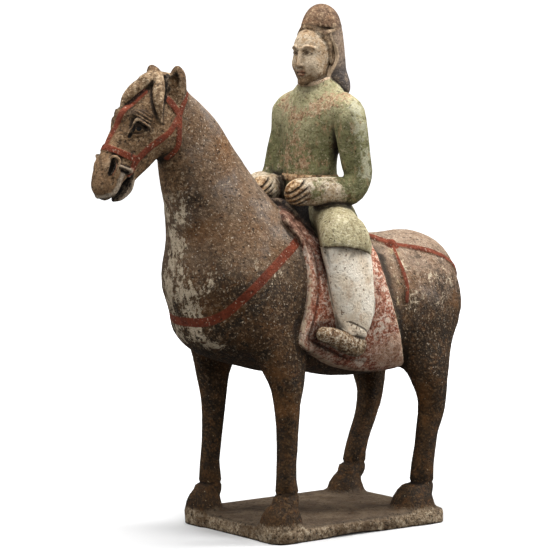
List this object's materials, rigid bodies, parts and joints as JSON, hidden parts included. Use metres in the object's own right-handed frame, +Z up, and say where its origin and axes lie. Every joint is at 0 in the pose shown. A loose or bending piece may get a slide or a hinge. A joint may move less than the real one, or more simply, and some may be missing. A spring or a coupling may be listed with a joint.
{
  "type": "horse and rider figure",
  "caption": "Fired clay figure of a rider in a cap and long robe seated on a standing saddled horse, on a thin rectangular slab.",
  "frame": {"origin": "middle of the slab's flat underside", "axes": "+Z up through the rider; the horse faces -X; its left side faces -Y"},
  "size_m": [0.2744, 0.1136, 0.32],
  "materials": {
    "painted_clay": "matt grey earthenware with worn pigments"
  },
  "bodies": {
    "root": {"horse_and_rider": "painted_clay"}
  },
  "joints": []
}
